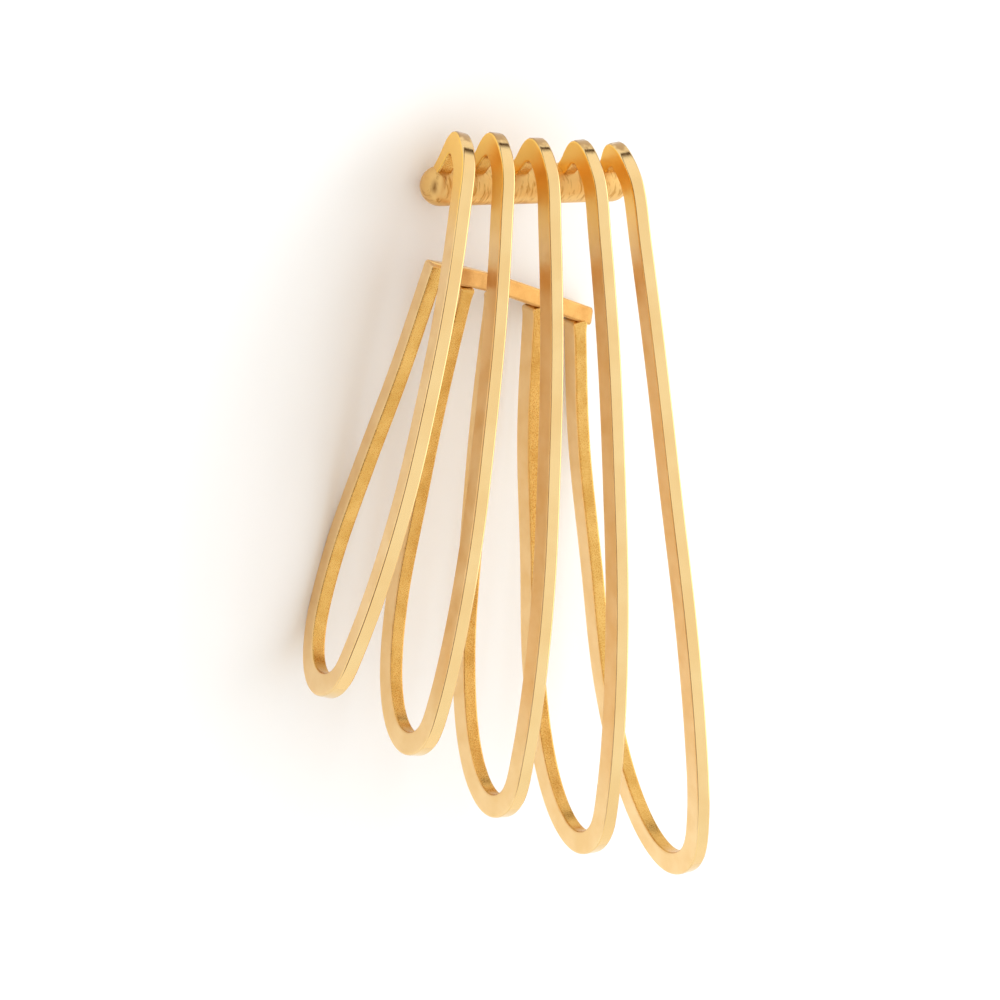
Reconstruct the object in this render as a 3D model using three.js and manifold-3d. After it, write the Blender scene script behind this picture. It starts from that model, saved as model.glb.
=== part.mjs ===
// Ear cuff: five long open loops of flat wire, fanned out and soldered to a round top bar and to a
// curved crossbar behind them. It lies on its back, as it would on a table.
import * as THREE from 'three';
import { ConvexHull } from 'three/addons/math/ConvexHull.js';
import { mergeVertices } from 'three/addons/utils/BufferGeometryUtils.js';
import Module from 'manifold-3d';

// Sizes in millimetres, angles in degrees.
const loopLength = 41.6; // top to bottom of the longest loop
const loopDepth = 8.21; // front run to back run of the deepest loop
const fanSpan = 10.83; // first loop to last loop, along the bar
const topRise = 2.52; // from the bar up to the top of the first loop
const wireWidth = 0.84; // across the plane of a loop
const wireDepth = 1.32; // in the plane of a loop, from its outer to its inner face
const wireBevel = 0.11; // the broken edges of the wire
const barDiameter = 2.28;
const barLeftInset = 0.25; // from the first loop to the centre of the bar's round end
const barRightOverhang = 0.3;
const crossbarHeight = 1.08;
const crossbarDepth = 1.26;
const crossbarRightOverhang = 1.3; // past the middle of the last loop
const bevelSteps = 3; // sections that round off the crossbar's right end

const gold = { color: 0xe0a84c, roughness: 0.16, metalness: 1 };

// The five loops from left to right, each flat in its own plane. The plane passes through the bar's
// axis, leans sideways by lean and is turned about the upright by turn, both in degrees.
// across: place along the bar, a share of the fan's span.
// rise: top of the loop above the bar, a share of the first loop's rise.
// drop: top to bottom, a share of the longest loop.
// These are shares of the deepest loop's depth:
// depth: front run to back run. reach: front run before the bar. bow: how far the front run swells.
// belly: how far the back run swells. close: how far the back run's tip comes forward. hook: how far
// the back run turns forward just under its tip.
// tip: share of the loop's own drop where the back run ends.
const loops = [
  {
    across: -0.552, lean: -13.3, turn: -6.5, rise: 1, drop: 0.748, depth: 0.928,
    reach: 0.542, bow: 0.105, belly: -0.205, close: 0.452, hook: 0.05, tip: 0.231,
  },
  {
    across: -0.354, lean: -6.5, turn: 0.5, rise: 0.988, drop: 0.8185, depth: 0.789,
    reach: 0.549, bow: 0.03, belly: -0.055, close: 0.144, hook: 0, tip: 0.222,
  },
  {
    across: -0.099, lean: -1.4, turn: 3.6, rise: 0.849, drop: 0.8995, depth: 0.748,
    reach: 0.538, bow: 0.042, belly: 0.027, close: -0.104, hook: 0, tip: 0.212,
  },
  {
    across: 0.186, lean: 2.9, turn: 3.2, rise: 0.77, drop: 0.956, depth: 0.814,
    reach: 0.547, bow: 0.02, belly: 0.073, close: -0.294, hook: -0.03, tip: 0.22,
  },
  {
    across: 0.448, lean: 8.1, turn: -0.1, rise: 0.687, drop: 1, depth: 1,
    reach: 0.563, bow: -0.11, belly: 0.115, close: -0.419, hook: -0.02, tip: 0.235,
  },
];

// One shape for every loop, from its top down the front, round the bottom and up the back.
// down: share of the drop. out: share of the depth, 0 at the back run and 1 at the front run.
const outline = [
  { down: 0, out: 0.635 },
  { down: 0.035, out: 0.832 },
  { down: 0.12, out: 0.914 },
  { down: 0.28, out: 1.012 },
  { down: 0.46, out: 1.062 },
  { down: 0.64, out: 1.083 },
  { down: 0.8, out: 1.023 },
  { down: 0.915, out: 0.914 },
  { down: 0.98, out: 0.775 },
  { down: 1, out: 0.48 },
  { down: 0.975, out: 0.208 },
  { down: 0.905, out: -0.02 },
  { down: 0.77, out: -0.134 },
  { down: 0.6, out: -0.064 },
  { down: 0.42, out: 0.043 },
];
const tipOut = 0.243; // share of the depth where the back run would end without close
const frontEnd = 0.9; // share of the drop where the front run's bow ends
const hookStart = 0.55; // share of the back run where its hook starts

const turnStep = THREE.MathUtils.degToRad(8); // most that a wire turns between two sections
const longestStep = 3.2;
const samplesPerPoint = 24;

const wasm = await Module();
wasm.setup();

function toSolid(geometry) {
  const bare = new THREE.BufferGeometry();
  bare.setAttribute('position', geometry.getAttribute('position'));
  if (geometry.index) {
    bare.setIndex(geometry.index);
  }
  const merged = mergeVertices(bare, 1e-4);
  const corners = merged.index.array;
  const kept = [];
  for (let i = 0; i < corners.length; i += 3) {
    const [a, b, c] = corners.slice(i, i + 3);
    if (a !== b && b !== c && c !== a) {
      kept.push(a, b, c);
    }
  }
  return new wasm.Manifold(new wasm.Mesh({
    numProp: 3,
    vertProperties: new Float32Array(merged.attributes.position.array),
    triVerts: new Uint32Array(kept),
  }));
}

function toGeometry(solid) {
  const mesh = solid.getMesh();
  const geometry = new THREE.BufferGeometry();
  geometry.setAttribute('position', new THREE.BufferAttribute(mesh.vertProperties, 3));
  geometry.setIndex(new THREE.BufferAttribute(mesh.triVerts, 1));
  return geometry;
}

// A closed body through flat sections with broken edges. Each section has a centre, the unit
// directions across and out, the half sizes along them and the bevel.
function sweepSections(sections) {
  const points = [];
  for (const { centre, across, out, halfAcross: a, halfOut: b, bevel: c } of sections) {
    const ring = [
      [a, b - c], [a - c, b], [c - a, b], [-a, b - c],
      [-a, c - b], [c - a, -b], [a - c, -b], [a, c - b],
    ];
    for (const [x, y] of ring) {
      points.push(centre.clone().addScaledVector(across, x).addScaledVector(out, y));
    }
  }
  const sides = 8;
  const faces = [];
  for (let i = 0; i + 1 < sections.length; i += 1) {
    for (let j = 0; j < sides; j += 1) {
      const a = i * sides + j;
      const b = i * sides + ((j + 1) % sides);
      faces.push(a, b, a + sides, b, b + sides, a + sides);
    }
  }
  const last = (sections.length - 1) * sides;
  for (let j = 1; j + 1 < sides; j += 1) {
    faces.push(0, j + 1, j, last, last + j, last + j + 1);
  }
  const geometry = new THREE.BufferGeometry().setFromPoints(points);
  geometry.setIndex(faces);
  return geometry;
}

// Points along a smooth curve, close together where it turns.
function walk(points) {
  const curve = new THREE.CatmullRomCurve3(points, false, 'centripetal');
  const dense = curve.getPoints((points.length - 1) * samplesPerPoint);
  const kept = [dense[0]];
  let heading = dense[1].clone().sub(dense[0]).normalize();
  for (let i = 1; i + 1 < dense.length; i += 1) {
    const ahead = dense[i + 1].clone().sub(dense[i]).normalize();
    const far = dense[i].distanceTo(kept[kept.length - 1]) > longestStep;
    if (far || ahead.angleTo(heading) > turnStep) {
      kept.push(dense[i]);
      heading = ahead;
    }
  }
  kept.push(dense[dense.length - 1]);
  return kept;
}

function tangentAt(points, i) {
  const before = points[Math.max(i - 1, 0)];
  const after = points[Math.min(i + 1, points.length - 1)];
  return after.clone().sub(before).normalize();
}

// The plane of a loop while the cuff stands up: +X across, -Y to the front, +Z up.
function planeOf(loop) {
  const lean = THREE.MathUtils.degToRad(loop.lean);
  const turn = THREE.MathUtils.degToRad(loop.turn);
  const origin = new THREE.Vector3(loop.across * fanSpan, 0, 0);
  const down = new THREE.Vector3(Math.sin(lean), 0, -Math.cos(lean));
  const front = new THREE.Vector3(Math.sin(turn), -Math.cos(turn), 0);
  front.addScaledVector(down, -front.dot(down)).normalize();
  const across = new THREE.Vector3().crossVectors(front, down).negate();
  return { origin, down, front, across };
}

// 0 at both ends of a run and 1 at its middle.
function swell(along) {
  const share = THREE.MathUtils.clamp(along, 0, 1);
  return 4 * share * (1 - share);
}

// The middle line of a loop in its own plane, as distances to the front of the bar and below it.
function lineOf(loop) {
  const back = loop.reach - loop.depth;
  const rows = [...outline, { down: loop.tip, out: tipOut }];
  const bottom = rows.findIndex((row) => row.down === 1);
  const line = rows.map((row, i) => {
    let front = back + row.out * loop.depth;
    if (i < bottom) {
      front += swell(row.down / frontEnd) * loop.bow;
    } else {
      const along = (1 - row.down) / (1 - loop.tip);
      front += along * along * loop.close - swell(along) * loop.belly;
      front += swell((along - hookStart) / (1 - hookStart)) * loop.hook;
    }
    const down = row.down * loop.drop * loopLength - loop.rise * topRise;
    return { front: front * loopDepth, down };
  });
  const top = line[0];
  return [{ front: 0, down: 0 }, { front: top.front / 2, down: top.down / 2 }, ...line];
}

function loopPoints(loop) {
  const { origin, down, front } = planeOf(loop);
  return lineOf(loop).map((p) => (
    origin.clone().addScaledVector(front, p.front).addScaledVector(down, p.down)
  ));
}

function buildLoop(loop) {
  const { across } = planeOf(loop);
  const points = walk(loopPoints(loop));
  const sections = points.map((centre, i) => ({
    centre,
    across,
    out: new THREE.Vector3().crossVectors(tangentAt(points, i), across),
    halfAcross: wireWidth / 2,
    halfOut: wireDepth / 2,
    bevel: wireBevel,
  }));
  return toSolid(sweepSections(sections));
}

function buildBar() {
  const radius = barDiameter / 2;
  const left = loops[0].across * fanSpan + barLeftInset;
  const right = loops.at(-1).across * fanSpan + barRightOverhang;
  const capSteps = 7;
  const profile = [];
  for (let i = 0; i <= capSteps; i += 1) {
    const angle = (i / capSteps) * (Math.PI / 2);
    profile.push(new THREE.Vector2(radius * Math.sin(angle), -radius * Math.cos(angle)));
  }
  for (let i = 0; i <= capSteps; i += 1) {
    const angle = (i / capSteps) * (Math.PI / 2);
    const height = right - left + radius * Math.sin(angle);
    profile.push(new THREE.Vector2(i < capSteps ? radius * Math.cos(angle) : 0, height));
  }
  profile[0].x = 0;
  const bar = new THREE.LatheGeometry(profile, 24);
  bar.rotateZ(-Math.PI / 2);
  bar.translate(left, 0, 0);
  return toSolid(bar);
}

// The crossbar runs through the tips of the back runs. Its height follows the wires that end in it.
function buildCrossbar() {
  const tips = loops.map((loop) => loopPoints(loop).at(-1));
  const wires = loops.map((loop) => {
    const points = loopPoints(loop);
    return points.at(-1).clone().sub(points.at(-2)).normalize();
  });
  const up = wires.reduce((sum, wire) => sum.add(wire), new THREE.Vector3()).normalize();
  const first = tips[0].clone().sub(tips[1]).setLength(wireWidth / 2).add(tips[0]);
  const last = tips.at(-1).clone().sub(tips.at(-2)).setLength(crossbarRightOverhang).add(tips.at(-1));
  const points = walk([first, ...tips, last]);
  const sections = points.map((centre, i) => {
    const out = new THREE.Vector3().crossVectors(up, tangentAt(points, i)).normalize();
    const across = new THREE.Vector3().crossVectors(out, tangentAt(points, i)).normalize();
    return {
      centre,
      across,
      out,
      halfAcross: crossbarHeight / 2,
      halfOut: crossbarDepth / 2,
      bevel: wireBevel,
    };
  });
  const end = sections.at(-1);
  const along = tangentAt(points, points.length - 1);
  const rounding = end.halfAcross;
  end.centre.addScaledVector(along, -rounding);
  for (let i = 1; i <= bevelSteps; i += 1) {
    const angle = (i / bevelSteps) * THREE.MathUtils.degToRad(75);
    sections.push({
      ...end,
      centre: end.centre.clone().addScaledVector(along, rounding * Math.sin(angle)),
      halfAcross: end.halfAcross - rounding * (1 - Math.cos(angle)),
      halfOut: end.halfOut - rounding * (1 - Math.cos(angle)),
    });
  }
  return toSolid(sweepSections(sections));
}

// Centre of mass of a closed mesh of one material.
function centreOfMass(geometry) {
  const position = geometry.getAttribute('position');
  const corners = geometry.index.array;
  const centre = new THREE.Vector3();
  let volume = 0;
  for (let i = 0; i < corners.length; i += 3) {
    const [a, b, c] = [0, 1, 2].map((k) => (
      new THREE.Vector3().fromBufferAttribute(position, corners[i + k])
    ));
    const part = a.dot(b.clone().cross(c)) / 6;
    centre.addScaledVector(a.add(b).add(c), part / 4);
    volume += part;
  }
  return centre.divideScalar(volume);
}

// Rolls the cuff from lying on its back onto the flat of its hull that then carries it.
function restDirection(geometry, start) {
  const position = geometry.getAttribute('position');
  const points = [];
  for (let i = 0; i < position.count; i += 1) {
    points.push(new THREE.Vector3().fromBufferAttribute(position, i));
  }
  const hull = new ConvexHull().setFromPoints(points);
  const centre = centreOfMass(geometry);
  const faceBelow = (down) => {
    let best = null;
    let nearest = Infinity;
    for (const face of hull.faces) {
      const facing = face.normal.dot(down);
      const distance = (face.constant - face.normal.dot(centre)) / facing;
      if (facing > 0 && distance < nearest) {
        nearest = distance;
        best = face;
      }
    }
    return best;
  };
  let face = faceBelow(start);
  let next = faceBelow(face.normal);
  while (next !== face) {
    face = next;
    next = faceBelow(face.normal);
  }
  return face.normal;
}

let cuff = buildBar().add(buildCrossbar());
for (const loop of loops) {
  cuff = cuff.add(buildLoop(loop));
}
const geometry = toGeometry(cuff);

// From standing to lying: the front faces up and the loops' tops point along +Y.
geometry.rotateX(-Math.PI / 2);
const floor = new THREE.Vector3(0, 0, -1);
const restsOn = restDirection(geometry, floor);
geometry.applyQuaternion(new THREE.Quaternion().setFromUnitVectors(restsOn, floor));
geometry.computeBoundingBox();
const box = geometry.boundingBox;
geometry.translate(
  -(box.min.x + box.max.x) / 2,
  -(box.min.y + box.max.y) / 2,
  -box.min.z,
);
geometry.computeVertexNormals();

const cuffMesh = new THREE.Mesh(geometry, new THREE.MeshStandardMaterial(gold));
cuffMesh.name = 'cuff_frame';

const earCuff = new THREE.Group();
earCuff.add(cuffMesh);

export default earCuff;
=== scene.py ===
import math

import bpy
from mathutils import Matrix, Vector


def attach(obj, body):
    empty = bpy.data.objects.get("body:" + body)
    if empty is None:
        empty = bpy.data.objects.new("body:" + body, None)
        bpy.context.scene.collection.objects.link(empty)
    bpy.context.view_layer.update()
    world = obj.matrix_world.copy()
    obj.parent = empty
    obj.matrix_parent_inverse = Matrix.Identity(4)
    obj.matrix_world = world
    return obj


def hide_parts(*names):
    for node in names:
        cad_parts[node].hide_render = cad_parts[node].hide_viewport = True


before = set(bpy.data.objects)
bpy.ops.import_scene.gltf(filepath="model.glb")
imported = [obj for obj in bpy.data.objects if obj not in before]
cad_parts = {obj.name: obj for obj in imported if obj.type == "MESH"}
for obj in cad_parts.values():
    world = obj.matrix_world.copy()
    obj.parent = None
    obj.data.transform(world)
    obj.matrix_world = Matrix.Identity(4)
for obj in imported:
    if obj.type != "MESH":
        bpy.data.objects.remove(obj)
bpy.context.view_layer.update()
mm = 0.001

# The cuff is described standing up, +X across, -Y to the front, +Z up, and then laid on its back:
# where those three directions point on the table, and where the middle of the bar's axis goes.
lying = {
    "acrossGoes": (0.96550, 0.01851, 0.25974),
    "backGoes": (0.25974, -0.13935, -0.95557),
    "upGoes": (0.01851, 0.99007, -0.13935),
    "barMiddle": (1.7742, 18.0848, 2.9111),  # mm
}


def layDown():
    turn = Matrix((lying["acrossGoes"], lying["backGoes"], lying["upGoes"])).transposed().to_4x4()
    return Matrix.Translation(Vector(lying["barMiddle"]) * mm) @ turn


def toLinear(hexColour):
    parts = [int(hexColour[i:i + 2], 16) / 255 for i in (1, 3, 5)]
    return [c / 12.92 if c <= 0.04045 else ((c + 0.055) / 1.055) ** 2.4 for c in parts] + [1.0]


def addNode(tree, kind, settings=None, links=None):
    # a socket goes by its name, or by its number where several have the same name
    node = tree.nodes.new(kind)
    for key, value in (settings or {}).items():
        if isinstance(key, int) or key in node.inputs:
            node.inputs[key].default_value = value
        else:
            setattr(node, key, value)
    for key, source in (links or {}).items():
        tree.links.new(source, node.inputs[key])
    return node


mixFrom, mixTo, mixResult = 6, 7, 2  # the sockets of a Mix node that hold colours


def setRamp(node, places, colours):
    for element, place, colour in zip(node.color_ramp.elements, places, colours):
        element.position = place
        element.color = toLinear(colour)


def newMaterial(name):
    material = bpy.data.materials.new(name)
    material.use_nodes = True
    tree = material.node_tree
    tree.nodes.clear()
    coords = addNode(tree, "ShaderNodeTexCoord")
    return material, tree, coords.outputs["Object"]


mirrorPolish = {
    "gold": "#E7C88F",
    "deeperGold": "#E3C085",
    "roughness": (0.1, 0.15),
    "cloudSize": 3.0,  # mm, patches where the buffing wheel left slightly more haze
    "cloudColour": (0.35, 0.65),  # of the cloud pattern, from the deeper gold to the other
    "cloudHaze": (0.3, 0.7),  # of the cloud pattern, from the least to the most roughness
    "waveSize": 0.9,  # mm, slow waves left by hand buffing
    "waveHeight": 0.0012,  # mm
    "paintedReflection": "#8A5C30",  # painted dark reflection: brown in the bends over the bar, where they mirror the dark gap behind
    "reflectionShare": 0.6,
    "reflectionFrom": (2.2, 2.55),  # mm above the bar's axis, from none to all of it
    "reflectionGrain": 0.4,  # mm, the grain that breaks up its edge
    "reflectionBreak": 1.6,  # mm, how far the grain pushes it up and down
    "reflectionShift": 0.073,  # mm lower for each mm to the right, as the bends are
}

lappedBrightenedSides = dict(
    mirrorPolish,
    # painted light: the sides' gold is lighter than the fronts', to make up for the shaded table they
    # mirror
    gold="#F5D49C",
    deeperGold="#EEC88A",
    roughness=(0.28, 0.36),
    cloudSize=1.6,
    waveSize=0.12,  # mm, the scratches of the lapping paper, drawn coarser than they are to show
    waveHeight=0.0008,
    paintedReflection="#FFCB4E",  # painted reflection of the neighbouring loops and the bar: deeper gold on the sides near the bar
    reflectionShare=0.7,
    reflectionFrom=(-3.6, 0.2),
    reflectionBreak=1.0,
)


def paintedReflection(tree, coords, colour, size):
    # painted reflection, mixed into the base colour: grows with the height over the bar, and is broken up
    # by a fine grain
    slanted = Vector(lying["upGoes"]) + Vector(lying["acrossGoes"]) * size["reflectionShift"]
    height = addNode(tree, "ShaderNodeVectorMath", {"operation": "DOT_PRODUCT", 1: slanted}, {0: coords})
    grain = addNode(tree, "ShaderNodeTexNoise", {"Scale": 1 / (size["reflectionGrain"] * mm), "Detail": 4.0},
                    {"Vector": coords})
    broken = addNode(tree, "ShaderNodeMath", {"operation": "MULTIPLY_ADD", 1: size["reflectionBreak"] * mm},
                     {0: grain.outputs["Fac"], 2: height.outputs["Value"]})
    base = slanted.dot(Vector(lying["barMiddle"])) + size["reflectionBreak"] / 2
    amount = addNode(tree, "ShaderNodeMapRange",
                     {"From Min": (base + size["reflectionFrom"][0]) * mm,
                      "From Max": (base + size["reflectionFrom"][1]) * mm, "To Max": size["reflectionShare"]},
                     {"Value": broken.outputs["Value"]})
    mixed = addNode(tree, "ShaderNodeMix", {"data_type": "RGBA", mixTo: toLinear(size["paintedReflection"])},
                    {"Factor": amount.outputs["Result"], mixFrom: colour})
    return mixed.outputs[mixResult]


def makePolished(name, size):
    # Gold plate over brass. Buffed on a wheel it mirrors cleanly, with a slight haze and slow waves; the
    # flat sides are lapped on fine paper instead, which leaves a soft gloss without a clear picture.
    material, tree, coords = newMaterial(name)
    clouds = addNode(tree, "ShaderNodeTexNoise", {"Scale": 1 / (size["cloudSize"] * mm), "Detail": 3.0},
                     {"Vector": coords})
    gold = addNode(tree, "ShaderNodeValToRGB", links={"Fac": clouds.outputs["Fac"]})
    setRamp(gold, size["cloudColour"], (size["deeperGold"], size["gold"]))
    haze = addNode(tree, "ShaderNodeMapRange",
                   {"From Min": size["cloudHaze"][0], "From Max": size["cloudHaze"][1],
                    "To Min": size["roughness"][0], "To Max": size["roughness"][1]},
                   {"Value": clouds.outputs["Fac"]})
    waves = addNode(tree, "ShaderNodeTexNoise", {"Scale": 1 / (size["waveSize"] * mm), "Detail": 1.0},
                    {"Vector": coords})
    bump = addNode(tree, "ShaderNodeBump", {"Strength": 1.0, "Distance": size["waveHeight"] * mm},
                   {"Height": waves.outputs["Fac"]})
    # the base colour carries a painted reflection: dark brown in the bends of the fronts, deeper gold on
    # the sides near the bar
    shader = addNode(tree, "ShaderNodeBsdfPrincipled", {"Metallic": 1.0},
                     {"Base Color": paintedReflection(tree, coords, gold.outputs["Color"], size),
                      "Roughness": haze.outputs["Result"], "Normal": bump.outputs["Normal"]})
    addNode(tree, "ShaderNodeOutputMaterial", links={"Surface": shader.outputs["BSDF"]})
    return material


satinInside = {
    "gold": "#E4B76A",
    "deeperGold": "#CC9A4C",
    "roughness": (0.22, 0.34),
    "grain": 0.06,  # mm, cast skin that the wheel can't reach, drawn twice as coarse to show
    "grainHeight": 0.0045,  # mm
    "grainHaze": (0.35, 0.65),  # of the grain, from the least to the most roughness
    "patch": 1.4,  # mm, where the tumbling took more or less off
    "patchColour": (0.14, 0.36),  # of grain times patches, from the deeper gold to the other
}
satinCrossbar = dict(satinInside, gold="#D2A058", deeperGold="#B8823C", roughness=(0.28, 0.4))


def makeTumbled(name, size):
    # Gold plate over the cast skin, only tumbled: satin, with a fine sparkling grain.
    material, tree, coords = newMaterial(name)
    grain = addNode(tree, "ShaderNodeTexNoise", {"Scale": 1 / (size["grain"] * mm), "Detail": 2.0},
                    {"Vector": coords})
    patches = addNode(tree, "ShaderNodeTexNoise", {"Scale": 1 / (size["patch"] * mm), "Detail": 3.0},
                      {"Vector": coords})
    both = addNode(tree, "ShaderNodeMath", {"operation": "MULTIPLY"},
                   {0: grain.outputs["Fac"], 1: patches.outputs["Fac"]})
    gold = addNode(tree, "ShaderNodeValToRGB", links={"Fac": both.outputs["Value"]})
    setRamp(gold, size["patchColour"], (size["deeperGold"], size["gold"]))
    haze = addNode(tree, "ShaderNodeMapRange",
                   {"From Min": size["grainHaze"][0], "From Max": size["grainHaze"][1],
                    "To Min": size["roughness"][0], "To Max": size["roughness"][1]},
                   {"Value": grain.outputs["Fac"]})
    bump = addNode(tree, "ShaderNodeBump", {"Strength": 0.8, "Distance": size["grainHeight"] * mm},
                   {"Height": grain.outputs["Fac"]})
    shader = addNode(tree, "ShaderNodeBsdfPrincipled", {"Metallic": 1.0},
                     {"Base Color": gold.outputs["Color"], "Roughness": haze.outputs["Result"],
                      "Normal": bump.outputs["Normal"]})
    addNode(tree, "ShaderNodeOutputMaterial", links={"Surface": shader.outputs["BSDF"]})
    return material


filedBar = {
    "gold": "#E8BE78",
    "deeperGold": "#C4904A",
    "roughness": (0.32, 0.48),
    "mark": 0.16,  # mm between the marks of the file
    "markStretch": (1.0, 0.22, 0.22),  # they run round the bar
    "markTilt": (0.0, 0.3, 0.5),  # radians
    "markHeight": 0.01,  # mm, of marks and pits
    "markColour": (0.34, 0.48),  # of the marks, from the deeper gold to the other
    "markHaze": (0.3, 0.7),  # of the marks, from the least to the most roughness
    "pit": 1.1,  # mm between two pits
    "pitEdge": (0.03, 0.12),  # of that, from a pit's floor to its rim
}


def makeFiledBar(name, size):
    # Gold plate over brass that was filed round: a dull gloss with fine darker scratches and small pits.
    material, tree, coords = newMaterial(name)
    stretched = addNode(tree, "ShaderNodeMapping",
                        {"Scale": size["markStretch"], "Rotation": size["markTilt"]}, {"Vector": coords})
    marks = addNode(tree, "ShaderNodeTexNoise",
                    {"Scale": 1 / (size["mark"] * mm), "Detail": 4.0, "Distortion": 0.6},
                    {"Vector": stretched.outputs["Vector"]})
    pits = addNode(tree, "ShaderNodeTexVoronoi", {"Scale": 1 / (size["pit"] * mm)}, {"Vector": coords})
    rim = addNode(tree, "ShaderNodeMapRange",
                  {"From Min": size["pitEdge"][0], "From Max": size["pitEdge"][1]},
                  {"Value": pits.outputs["Distance"]})
    height = addNode(tree, "ShaderNodeMath", {"operation": "ADD"},
                     {0: marks.outputs["Fac"], 1: rim.outputs["Result"]})
    gold = addNode(tree, "ShaderNodeValToRGB", links={"Fac": marks.outputs["Fac"]})
    setRamp(gold, size["markColour"], (size["deeperGold"], size["gold"]))
    haze = addNode(tree, "ShaderNodeMapRange",
                   {"From Min": size["markHaze"][0], "From Max": size["markHaze"][1],
                    "To Min": size["roughness"][0], "To Max": size["roughness"][1]},
                   {"Value": marks.outputs["Fac"]})
    bump = addNode(tree, "ShaderNodeBump", {"Strength": 0.7, "Distance": size["markHeight"] * mm},
                   {"Height": height.outputs["Value"]})
    shader = addNode(tree, "ShaderNodeBsdfPrincipled", {"Metallic": 1.0},
                     {"Base Color": gold.outputs["Color"], "Roughness": haze.outputs["Result"],
                      "Normal": bump.outputs["Normal"]})
    addNode(tree, "ShaderNodeOutputMaterial", links={"Surface": shader.outputs["BSDF"]})
    return material


polishedGoldPlate = makePolished("polishedGoldPlate", mirrorPolish)
lappedBrightenedGoldPlate = makePolished("lappedBrightenedGoldPlate", lappedBrightenedSides)
tumbledGoldPlate = makeTumbled("tumbledGoldPlate", satinInside)
crossbarGoldPlate = makeTumbled("tumbledDeepGoldPlate", satinCrossbar)
filedGoldPlate = makeFiledBar("filedGoldPlate", filedBar)
print("materials made")


# sizes that the loops share, in mm
fan = {"span": 10.83, "loopLength": 41.6, "loopDepth": 8.21, "topRise": 2.52}

# Each loop from left to right. Lean and turn are degrees. Across is a share of the span, rise of the
# top's rise, drop of the length, and tip of the drop, where the back run ends. The rest are shares of the
# depth: how deep the loop is, how far its front stands out, and how much its runs bow, bulge, close in
# and hook.
loops = [
    {"across": -0.552, "lean": -13.3, "turn": -6.5, "rise": 1.0, "drop": 0.748, "depth": 0.928,
     "reach": 0.542, "bow": 0.105, "belly": -0.205, "close": 0.452, "hook": 0.05, "tip": 0.231},
    {"across": -0.354, "lean": -6.5, "turn": 0.5, "rise": 0.988, "drop": 0.8185, "depth": 0.789,
     "reach": 0.549, "bow": 0.03, "belly": -0.055, "close": 0.144, "hook": 0.0, "tip": 0.222},
    {"across": -0.099, "lean": -1.4, "turn": 3.6, "rise": 0.849, "drop": 0.8995, "depth": 0.748,
     "reach": 0.538, "bow": 0.042, "belly": 0.027, "close": -0.104, "hook": 0.0, "tip": 0.212},
    {"across": 0.186, "lean": 2.9, "turn": 3.2, "rise": 0.77, "drop": 0.956, "depth": 0.814,
     "reach": 0.547, "bow": 0.02, "belly": 0.073, "close": -0.294, "hook": -0.03, "tip": 0.22},
    {"across": 0.448, "lean": 8.1, "turn": -0.1, "rise": 0.687, "drop": 1.0, "depth": 1.0,
     "reach": 0.563, "bow": -0.11, "belly": 0.115, "close": -0.419, "hook": -0.02, "tip": 0.235},
]

# One shape for every loop: down as a share of the drop, out as a share of the depth.
frontRun = [(0, 0.635), (0.035, 0.832), (0.12, 0.914), (0.28, 1.012), (0.46, 1.062), (0.64, 1.083),
            (0.8, 1.023), (0.915, 0.914), (0.98, 0.775)]
backRun = [(1, 0.48), (0.975, 0.208), (0.905, -0.02), (0.77, -0.134), (0.6, -0.064), (0.42, 0.043)]
tipOut = 0.243
bowEnd = 0.9  # of the drop, where the bow of the front run has died out
hookStart = 0.55  # of the way from the bottom to the tip


def swell(along):
    share = min(max(along, 0), 1)
    return 4 * share * (1 - share)


def loopLine(loop):
    line = []
    for down, out in frontRun:
        line.append((down, out * loop["depth"] + swell(down / bowEnd) * loop["bow"]))
    for down, out in backRun + [(loop["tip"], tipOut)]:
        along = (1 - down) / (1 - loop["tip"])
        line.append((down, out * loop["depth"] + along ** 2 * loop["close"] - swell(along) * loop["belly"]
                     + swell((along - hookStart) / (1 - hookStart)) * loop["hook"]))
    line = [Vector(((loop["reach"] - loop["depth"] + out) * fan["loopDepth"],
                    loop["rise"] * fan["topRise"] - down * loop["drop"] * fan["loopLength"], 0))
            for down, out in line]
    return [Vector((0, 0, 0)), line[0] / 2] + line


def loopPlane(loop):
    lean, turn = math.radians(loop["lean"]), math.radians(loop["turn"])
    up = Vector((-math.sin(lean), 0, math.cos(lean)))
    front = Vector((math.sin(turn), -math.cos(turn), 0))
    front = (front - up * front.dot(up)).normalized()
    plane = Matrix((front, up, front.cross(up))).transposed().to_4x4()
    return Matrix.Translation((fan["span"] * loop["across"] * mm, 0, 0)) @ plane


wire = {
    "width": 0.84,  # mm, as are the others down to the tips
    "depth": 1.32,
    "brokenEdge": 0.18,
    "spacing": 0.15,  # between the rows of points along the wire
    "firstTip": 0.42,  # the first loop's tip is carried this far past its last point
    "tipTrim": 0.4,  # the other tips stop short of it, just inside the crossbar
    "evenBelow": -1.5,  # mm, the height under which the slow bends are evened out
    "evenPasses": 30,
    "curveSteps": 24,  # between two points of a curve
    "edgeSteps": 4,
    "edgeAngle": 50,  # degrees, the least that counts as an edge to break
    "edges": 4,  # of the bare wire, whose points come one edge after another in its mesh
}


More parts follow.
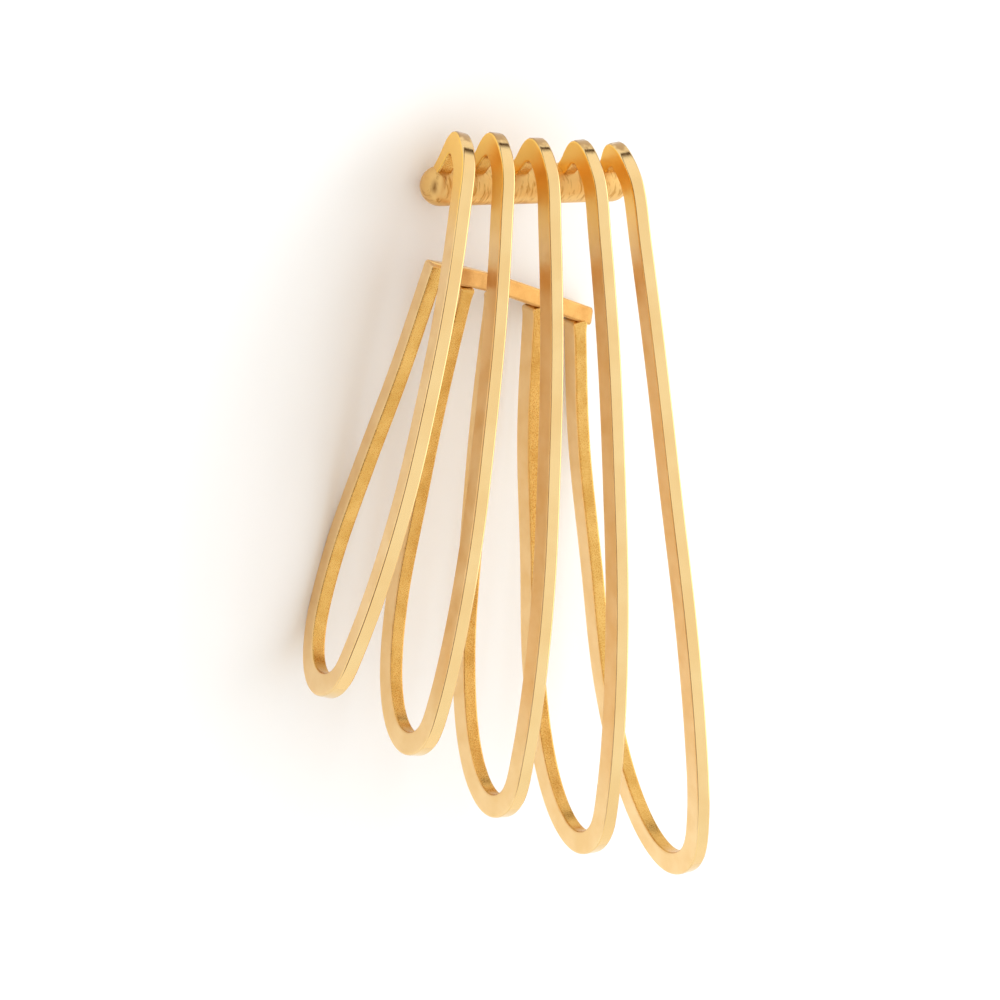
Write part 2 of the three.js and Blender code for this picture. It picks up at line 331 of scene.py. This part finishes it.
def smoothCurve(points):
    # a line that rounds every point, tighter where the points are close
    padded = [points[0] * 2 - points[1]] + points + [points[-1] * 2 - points[-2]]
    curve = []
    for a, b, c, d in zip(padded, padded[1:], padded[2:], padded[3:]):
        gaps = [math.sqrt((q - p).length) for p, q in ((a, b), (b, c), (c, d))]
        start = ((b - a) / gaps[0] - (c - a) / (gaps[0] + gaps[1]) + (c - b) / gaps[1]) * gaps[1]
        end = ((c - b) / gaps[1] - (d - b) / (gaps[1] + gaps[2]) + (d - c) / gaps[2]) * gaps[1]
        for i in range(wire["curveSteps"]):
            t = i / wire["curveSteps"]
            curve.append(b + start * t + (c * 3 - b * 3 - start * 2 - end) * t ** 2
                         + (b * 2 - c * 2 + start + end) * t ** 3)
    return curve + [points[-1]]


def evenly(points, spacing):
    walked = [0.0]
    for a, b in zip(points, points[1:]):
        walked.append(walked[-1] + (b - a).length)
    count = max(2, round(walked[-1] / spacing))
    kept, i = [], 0
    for k in range(count + 1):
        place = walked[-1] * k / count
        while i < len(points) - 2 and walked[i + 1] < place:
            i += 1
        kept.append(points[i].lerp(points[i + 1], (place - walked[i]) / (walked[i + 1] - walked[i])))
    return kept


def deselectAll():
    bpy.ops.object.select_all(action="DESELECT")


def drawLine(name, points):
    deselectAll()
    bpy.ops.mesh.primitive_plane_add(size=wire["spacing"] * mm, location=(0, 0, 0))
    piece = bpy.context.object
    piece.name = piece.data.name = name
    bpy.ops.object.mode_set(mode="EDIT")
    bpy.ops.mesh.merge(type="CENTER")  # the plane is now one point, which is drawn along the line
    bpy.ops.transform.translate(value=points[0])
    for here, there in zip(points, points[1:]):
        bpy.ops.mesh.extrude_region_move(TRANSFORM_OT_translate={"value": there - here})
    return piece


def evenOut(piece):
    # still in edit mode: takes the small jumps in curvature out of the long runs, where they'd show
    bpy.ops.object.mode_set(mode="OBJECT")
    for vertex in piece.data.vertices:
        vertex.select = vertex.co.y < wire["evenBelow"] * mm
    piece.data.vertices[len(piece.data.vertices) - 1].select = False
    bpy.ops.object.mode_set(mode="EDIT")
    bpy.ops.mesh.vertices_smooth(factor=0.5, repeat=wire["evenPasses"])


fork = {
    "startShare": 0.2,  # what is left of the inner half of the depth at the start
    "solderGap": 0.25,  # mm, where the fork is narrower than this, solder fills it
    "pastTop": 3,  # rows of points past the top, where the fork's other side begins
    "lowest": -3.0,  # mm, the height where it ends
    "mergeWithin": 0.002,  # mm
}


def closeFold(piece, line):
    # the start is filed thinner on its inside toward the bar, and the bend at the top is tighter than
    # half the wire, so its inside folds over itself: those points go to the corner of the fork
    count = len(line)
    top = max(range(count), key=lambda i: line[i].y)
    front = [j for j in range(top + fork["pastTop"], count) if line[j].y > fork["lowest"] * mm]
    for edge in range(wire["edges"]):
        points = piece.data.vertices[edge * count:(edge + 1) * count]
        if points[1].co.y > line[1].y:
            continue  # an outer edge
        for i in range(top):
            kept = fork["startShare"] + (1 - fork["startShare"]) * (i / top) ** 2
            for axis in (0, 1):
                points[i].co[axis] = line[i][axis] + (points[i].co[axis] - line[i][axis]) * kept
        for start in range(1, top):
            end = min(front, key=lambda j: (points[j].co - points[start].co).length)
            if (points[end].co - points[start].co).length < fork["solderGap"] * mm:
                break
        corner = (points[start].co + points[end].co) / 2
        for i in range(start, end + 1):
            points[i].co = corner
    bpy.ops.object.mode_set(mode="EDIT")
    bpy.ops.mesh.select_all(action="SELECT")
    bpy.ops.mesh.remove_doubles(threshold=fork["mergeWithin"] * mm)
    bpy.ops.object.mode_set(mode="OBJECT")


fillet = {
    "wider": 0.3,  # share of the wire's width that the solder adds at the crossbar
    "deeper": 0.06,  # share of its depth
    "rows": 6,  # of points along the wire that it takes
    "endShrink": 0.35,  # how much narrower the very end is
}


def flareTip(piece, line):
    # solder fills the corners on both sides of a back run, where it meets the crossbar, and the very
    # end is narrower, so it stays inside the crossbar
    count = len(line)
    for step in range(fillet["rows"]):
        share = (1 - step / fillet["rows"]) ** 2
        wider, deeper = fillet["wider"] * share, fillet["deeper"] * share
        if step == 0:
            wider = deeper = -fillet["endShrink"]
        middle = line[count - 1 - step]
        for edge in range(wire["edges"]):
            point = piece.data.vertices[(edge + 1) * count - 1 - step].co
            point += Vector(((point.x - middle.x) * deeper, (point.y - middle.y) * deeper,
                             point.z * wider))


def roundEnd(piece, count, rounding):
    # the end face of the bare wire is bevelled all round
    bpy.ops.object.mode_set(mode="EDIT")
    bpy.ops.mesh.select_all(action="DESELECT")
    bpy.ops.object.mode_set(mode="OBJECT")
    for edge in range(wire["edges"]):
        piece.data.vertices[(edge + 1) * count - 1].select = True
    bpy.ops.object.mode_set(mode="EDIT")
    bpy.ops.mesh.select_mode(type="VERT")
    bpy.ops.mesh.bevel(offset=rounding, segments=wire["edgeSteps"], affect="EDGES")
    bpy.ops.object.mode_set(mode="OBJECT")


def thicken(piece, wide, thick, finishes, folds=False, flared=False, endRounding=0):
    # still in edit mode: the line is drawn out to a ribbon, then gets its thickness and broken edges
    bpy.ops.object.mode_set(mode="OBJECT")
    line = [vertex.co.copy() for vertex in piece.data.vertices]
    bpy.ops.object.mode_set(mode="EDIT")
    bpy.ops.mesh.select_all(action="SELECT")
    bpy.ops.mesh.extrude_region_move(TRANSFORM_OT_translate={"value": wide})
    bpy.ops.mesh.select_all(action="SELECT")
    bpy.ops.transform.translate(value=-wide / 2)
    bpy.ops.object.mode_set(mode="OBJECT")
    for material in finishes:  # inside, outside and sides
        piece.data.materials.append(material)
    shell = piece.modifiers.new("thickness", "SOLIDIFY")
    shell.thickness = thick
    shell.offset = 0
    shell.use_even_offset = True
    shell.material_offset = 1
    shell.material_offset_rim = 2
    edges = piece.modifiers.new("brokenEdges", "BEVEL")
    edges.width = wire["brokenEdge"] * mm
    edges.segments = wire["edgeSteps"]
    edges.limit_method = "ANGLE"
    edges.angle_limit = math.radians(wire["edgeAngle"])
    edges.harden_normals = True
    bpy.ops.object.shade_smooth()
    bpy.ops.object.modifier_apply(modifier=shell.name)
    if endRounding:
        roundEnd(piece, len(line), endRounding)
    if flared:
        flareTip(piece, line)
    if folds:
        closeFold(piece, line)
    bpy.ops.object.modifier_apply(modifier=edges.name)


def finishPiece(piece):
    deselectAll()
    piece.select_set(True)
    bpy.context.view_layer.objects.active = piece
    bpy.ops.object.transform_apply(location=True, rotation=True, scale=True)
    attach(piece, "root")
    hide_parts("cuff_frame")


for number, loop in enumerate(loops, 1):
    points = [point * mm for point in evenly(smoothCurve(loopLine(loop)), wire["spacing"])]
    if number == 1:
        points[-1] += (points[-1] - points[-2]).normalized() * wire["firstTip"] * mm
    else:
        points = points[:-round(wire["tipTrim"] / wire["spacing"])]
    piece = drawLine("loop%d" % number, points)
    evenOut(piece)
    thicken(piece, Vector((0, 0, wire["width"] * mm)), wire["depth"] * mm,
            (tumbledGoldPlate, polishedGoldPlate, lappedBrightenedGoldPlate), folds=True, flared=number > 1)
    piece.matrix_world = layDown() @ loopPlane(loop)
    finishPiece(piece)
print("loops made")


crossbar = {
    "height": 1.08,  # mm
    "depth": 1.26,
    "rightOverhang": 1.3,
    "endRounding": 0.4,
    "endClearing": 1.3,  # of the rounding, kept free of rows so that the bevel has room
}


def loopPoint(loop, i):
    return loopPlane(loop) @ (loopLine(loop)[i] * mm)


tips = [loopPoint(loop, -1) for loop in loops]
barUp = Vector((0, 0, 0))
for loop, tip in zip(loops, tips):
    barUp += (tip - loopPoint(loop, -2)).normalized()
barUp.normalize()
last = tips[-1] + (tips[-1] - tips[-2]).normalized() * crossbar["rightOverhang"] * mm
clearing = crossbar["endClearing"] * crossbar["endRounding"] * mm
path = evenly(smoothCurve(tips + [last]), wire["spacing"] * mm)
path = [point for point in path if (point - last).length > clearing] + [last]
piece = drawLine("crossbar", path)
thicken(piece, barUp * crossbar["height"] * mm, crossbar["depth"] * mm,
        (crossbarGoldPlate, crossbarGoldPlate, lappedBrightenedGoldPlate),
        endRounding=crossbar["endRounding"] * mm)
piece.matrix_world = layDown()
finishPiece(piece)
print("crossbar made")


bar = {
    "diameter": 2.28,  # mm
    "leftInset": 0.25,  # of the ball's middle from the first loop's
    "rightOverhang": 0.3,
    "segments": 64,
    "rings": 32,
}
left = fan["span"] * loops[0]["across"] + bar["leftInset"]
right = fan["span"] * loops[-1]["across"] + bar["rightOverhang"]
deselectAll()
bpy.ops.mesh.primitive_uv_sphere_add(segments=bar["segments"], ring_count=bar["rings"],
                                     radius=bar["diameter"] / 2 * mm,
                                     location=(0, 0, 0), rotation=(0, math.pi / 2, 0))
piece = bpy.context.object
piece.name = piece.data.name = "topBar"
bpy.ops.object.transform_apply(location=True, rotation=True, scale=True)
bpy.ops.object.mode_set(mode="EDIT")
bpy.ops.mesh.select_all(action="DESELECT")
bpy.ops.object.mode_set(mode="OBJECT")
for vertex in piece.data.vertices:
    vertex.select = vertex.co.x > 0.01 * mm  # the right half, without the middle ring
# the two halves of the ball are moved apart, which draws its middle out to the bar
bpy.ops.object.mode_set(mode="EDIT")
bpy.ops.transform.translate(value=(right * mm, 0, 0))
bpy.ops.mesh.select_all(action="INVERT")
bpy.ops.transform.translate(value=(left * mm, 0, 0))
bpy.ops.object.mode_set(mode="OBJECT")
piece.data.materials.append(filedGoldPlate)
bpy.ops.object.shade_smooth()
piece.matrix_world = layDown()
finishPiece(piece)
print("bar made")


ground = {
    "colour": "#F7F7F7",
    "size": 1.6,  # m
    "roughness": 0.8,
    "fibre": 0.5,  # mm
    "fibreHeight": 0.02,  # mm
}


def makePaper(name, size):
    # Matt white paper: an even ground that takes a soft shadow, with fibres that are barely seen.
    material, tree, coords = newMaterial(name)
    fibres = addNode(tree, "ShaderNodeTexNoise", {"Scale": 1 / (size["fibre"] * mm), "Detail": 3.0},
                     {"Vector": coords})
    bump = addNode(tree, "ShaderNodeBump", {"Strength": 0.05, "Distance": size["fibreHeight"] * mm},
                   {"Height": fibres.outputs["Fac"]})
    shader = addNode(tree, "ShaderNodeBsdfPrincipled",
                     {"Base Color": toLinear(size["colour"]), "Roughness": size["roughness"]},
                     {"Normal": bump.outputs["Normal"]})
    addNode(tree, "ShaderNodeOutputMaterial", links={"Surface": shader.outputs["BSDF"]})
    return material


deselectAll()
bpy.ops.mesh.primitive_plane_add(size=ground["size"], location=(0, 0, 0))
table = bpy.context.object
table.name = "table"
table.data.materials.append(makePaper("mattWhitePaper", ground))


studio = {
    "sidePower": 0.9,  # W
    "sideSize": 0.5,  # m
    "sidePlace": (0.5, 0.08, 0.32),  # m
    "tentStrength": 1.63,
    "tentSide": "#E2E1DF",
    "tentTop": "#DDDDDB",
    "tentEdge": (0.55, 0.74),  # height in the sky, 1 overhead, where the side turns into the top
    # dark gaps between the table and the pale tent: the way each one lies, how far it reaches round and
    # how high; the bends at the top mirror the one behind as brown patches, the broken edges mirror the
    # one on the left as a thin dark line
    "gaps": [
        {"colour": "#3A2412", "faces": (-0.2, 0.98, 0.0), "narrow": (0.0, 0.25), "high": (0.06, 0.18)},
        {"colour": "#60442A", "faces": (-1.0, 0.0, 0.0), "narrow": (0.7, 0.85), "high": (0.42, 0.55)},
    ],
}

bpy.ops.object.light_add(type="AREA", location=studio["sidePlace"])
sideBox = bpy.context.object
sideBox.name = "sideBox"
sideBox.data.energy = studio["sidePower"]
sideBox.data.size = studio["sideSize"]
sideBox.rotation_euler = (-Vector(studio["sidePlace"])).to_track_quat("-Z", "Y").to_euler()

world = bpy.data.worlds.new("paleStudio")
world.use_nodes = True
bpy.context.scene.world = world
tree = world.node_tree
tree.nodes.clear()
coords = addNode(tree, "ShaderNodeTexCoord")
axes = addNode(tree, "ShaderNodeSeparateXYZ", links={"Vector": coords.outputs["Generated"]})
tent = addNode(tree, "ShaderNodeValToRGB", links={"Fac": axes.outputs["Z"]})
setRamp(tent, studio["tentEdge"], (studio["tentSide"], studio["tentTop"]))
colour = tent.outputs["Color"]
for gap in studio["gaps"]:
    facing = addNode(tree, "ShaderNodeVectorMath", {"operation": "DOT_PRODUCT", 1: gap["faces"]},
                     {0: coords.outputs["Generated"]})
    aside = addNode(tree, "ShaderNodeMapRange",
                    {"From Min": gap["narrow"][0], "From Max": gap["narrow"][1]},
                    {"Value": facing.outputs["Value"]})
    low = addNode(tree, "ShaderNodeMapRange",
                  {"From Min": gap["high"][0], "From Max": gap["high"][1], "To Min": 1.0, "To Max": 0.0},
                  {"Value": axes.outputs["Z"]})
    both = addNode(tree, "ShaderNodeMath", {"operation": "MULTIPLY"},
                   {0: aside.outputs["Result"], 1: low.outputs["Result"]})
    mixed = addNode(tree, "ShaderNodeMix", {"data_type": "RGBA", mixTo: toLinear(gap["colour"])},
                    {"Factor": both.outputs["Value"], mixFrom: colour})
    colour = mixed.outputs[mixResult]
background = addNode(tree, "ShaderNodeBackground", {"Strength": studio["tentStrength"]}, {"Color": colour})
addNode(tree, "ShaderNodeOutputWorld", links={"Surface": background.outputs["Background"]})

view = {
    "place": (-269.7105, 98.2615, 274.4798),  # mm
    "forward": (0.68699, -0.25334, -0.68108),
    "up": (0.0986, 0.96109, -0.25804),
    "frame": 1000,  # pixels, across and down
    "focal": 6969.2,  # pixels
    "centre": (520.228, 535.427),  # where the lens axis met the photo, in pixels
    "sensor": 36,  # mm
    "clipStart": 0.01,  # m
}
forward = Vector(view["forward"])
up = Vector(view["up"])
rightward = forward.cross(up)
# turned a little so that the middle of the frame lies on the lens axis, so no shift is needed
toMiddle = [view["frame"] / 2 - place for place in view["centre"]]
forward = (forward + rightward * toMiddle[0] / view["focal"]
           - up * toMiddle[1] / view["focal"]).normalized()
rightward = forward.cross(up).normalized()
up = rightward.cross(forward)
bpy.ops.object.camera_add()
camera = bpy.context.object
camera.matrix_world = Matrix.Translation(Vector(view["place"]) * mm) @ Matrix(
    (rightward, up, -forward)).transposed().to_4x4()
camera.data.sensor_width = view["sensor"]
camera.data.lens = view["focal"] * view["sensor"] / view["frame"]
camera.data.clip_start = view["clipStart"]
bpy.context.scene.camera = camera
bpy.context.scene.view_settings.view_transform = "Standard"
print("light and camera set")
